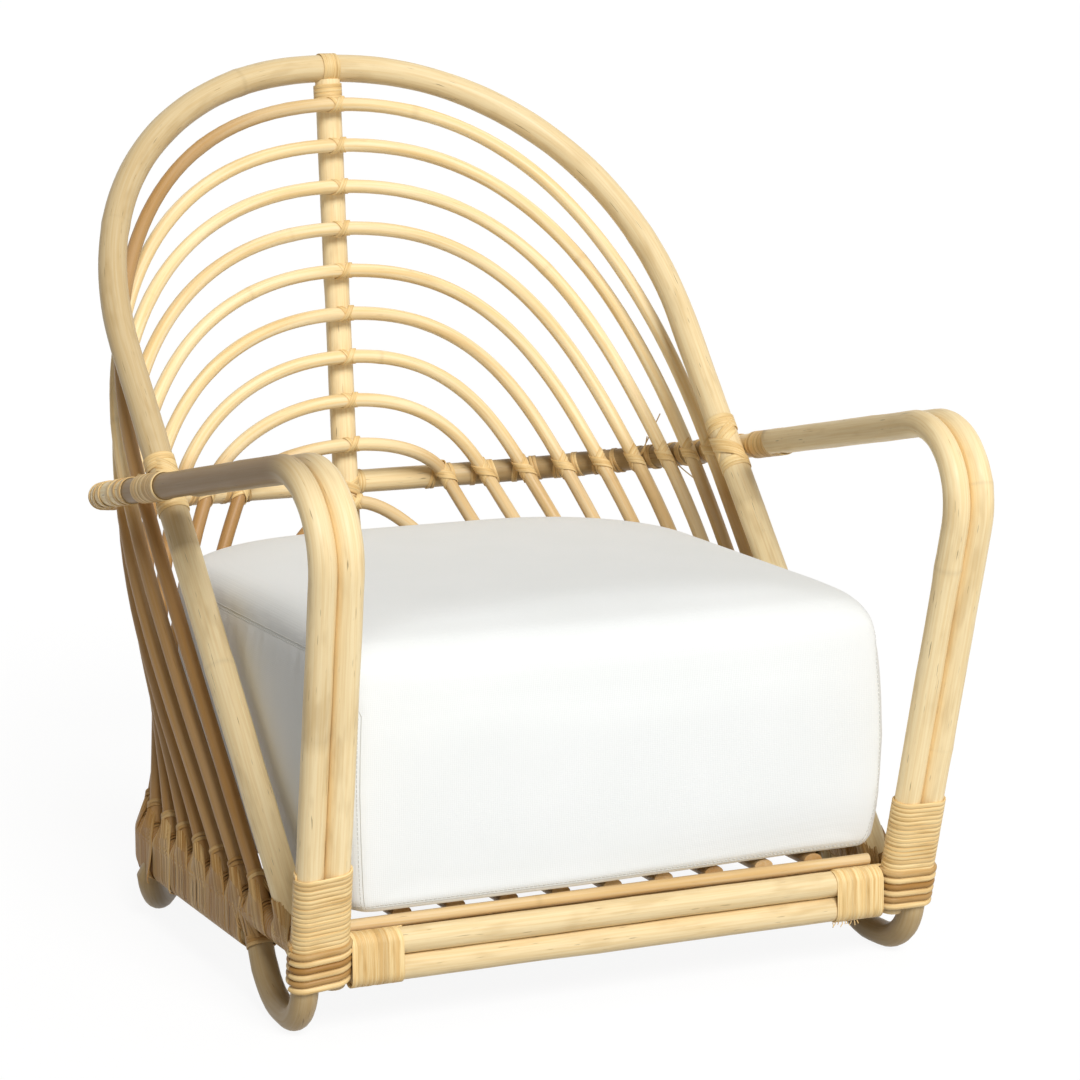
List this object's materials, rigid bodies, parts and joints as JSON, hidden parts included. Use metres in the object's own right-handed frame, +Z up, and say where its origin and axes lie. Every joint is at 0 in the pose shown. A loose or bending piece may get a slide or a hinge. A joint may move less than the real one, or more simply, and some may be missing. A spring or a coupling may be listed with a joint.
{
  "type": "rattan lounge armchair",
  "caption": "Low rattan lounge armchair: bent-pole arms, a tall leaning hoop back filled with a fan of nested arched ribs, wound bindings at its joints and a thick loose seat cushion.",
  "frame": {"origin": "on the floor, under the middle of the chair's width and depth", "axes": "+Z up, the sitter faces -Y, +X to the right as seen from the front"},
  "size_m": [0.7212, 0.8562, 0.8711],
  "materials": {
    "rattan_pole": "satin",
    "rattan_rib": "satin",
    "rattan_binding": "satin",
    "cushion_cover": "matte"
  },
  "bodies": {
    "frame": {"arm_pole_outer_right": "rattan_pole", "arm_pole_outer_left": "rattan_pole", "arm_pole_inner_right": "rattan_pole", "arm_pole_inner_left": "rattan_pole", "back_crossbar": "rattan_pole", "back_hoop": "rattan_pole", "back_spine": "rattan_pole", "base_rail_lower": "rattan_pole", "base_rail_upper": "rattan_pole", "front_rail_lower": "rattan_pole", "front_rail_upper": "rattan_pole", "rear_foot_right": "rattan_pole", "rear_foot_left": "rattan_pole", "slat_ledger_front": "rattan_pole", "slat_ledger_rear": "rattan_pole", "back_rib_01": "rattan_rib", "back_rib_02": "rattan_rib", "back_rib_03": "rattan_rib", "back_rib_04": "rattan_rib", "back_rib_05": "rattan_rib", "back_rib_06": "rattan_rib", "back_rib_07": "rattan_rib", "back_rib_08": "rattan_rib", "back_rib_09": "rattan_rib", "back_rib_10": "rattan_rib", "front_strip": "rattan_rib", "seat_slat_01": "rattan_rib", "seat_slat_02": "rattan_rib", "seat_slat_03": "rattan_rib", "seat_slat_04": "rattan_rib", "seat_slat_05": "rattan_rib", "seat_slat_06": "rattan_rib", "seat_slat_07": "rattan_rib", "seat_slat_08": "rattan_rib", "seat_slat_09": "rattan_rib", "side_rail_binding_right": "rattan_binding", "side_rail_binding_left": "rattan_binding", "front_side_binding_right": "rattan_binding", "front_side_binding_left": "rattan_binding", "corner_binding_right": "rattan_binding", "corner_binding_left": "rattan_binding", "post_binding_right": "rattan_binding", "post_binding_left": "rattan_binding", "front_rail_binding_right": "rattan_binding", "front_rail_binding_left": "rattan_binding", "arm_binding_right": "rattan_binding", "arm_binding_left": "rattan_binding", "rear_rail_binding": "rattan_binding", "crown_binding": "rattan_binding"},
    "cushion": {"seat_cushion": "cushion_cover"}
  },
  "joints": [
    {"name": "cushion_lift", "type": "slide", "parent": "frame", "child": "cushion", "axis": [0, 0, 1], "range_m": [0, 0.45]}
  ]
}
